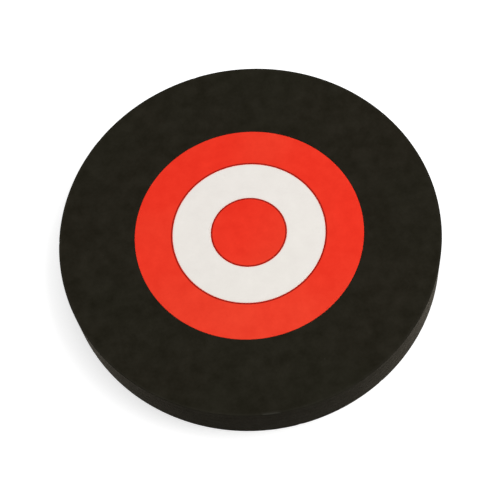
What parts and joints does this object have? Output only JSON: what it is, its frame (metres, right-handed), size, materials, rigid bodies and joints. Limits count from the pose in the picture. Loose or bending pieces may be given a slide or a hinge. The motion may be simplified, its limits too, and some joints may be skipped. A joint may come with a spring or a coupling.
{
  "type": "archery target",
  "caption": "Round laminated foam archery target disc with a concentric red and white bullseye let into its black face.",
  "frame": {"origin": "middle of the back face, on the surface the target lies on", "axes": "+Z along the disc's axis, out of the bullseye face; X and Y across the disc, which is round, so neither is marked"},
  "size_m": [0.4, 0.4, 0.0512],
  "materials": {
    "black_foam": "matte closed-cell foam",
    "red_foam": "matte closed-cell foam",
    "white_foam": "matte closed-cell foam"
  },
  "bodies": {
    "root": {"bullseye": "red_foam", "white_ring": "white_foam", "red_ring": "red_foam", "black_border": "black_foam", "backing_ply_1": "black_foam", "backing_ply_2": "black_foam", "backing_ply_3": "black_foam", "backing_ply_4": "black_foam"}
  },
  "joints": []
}
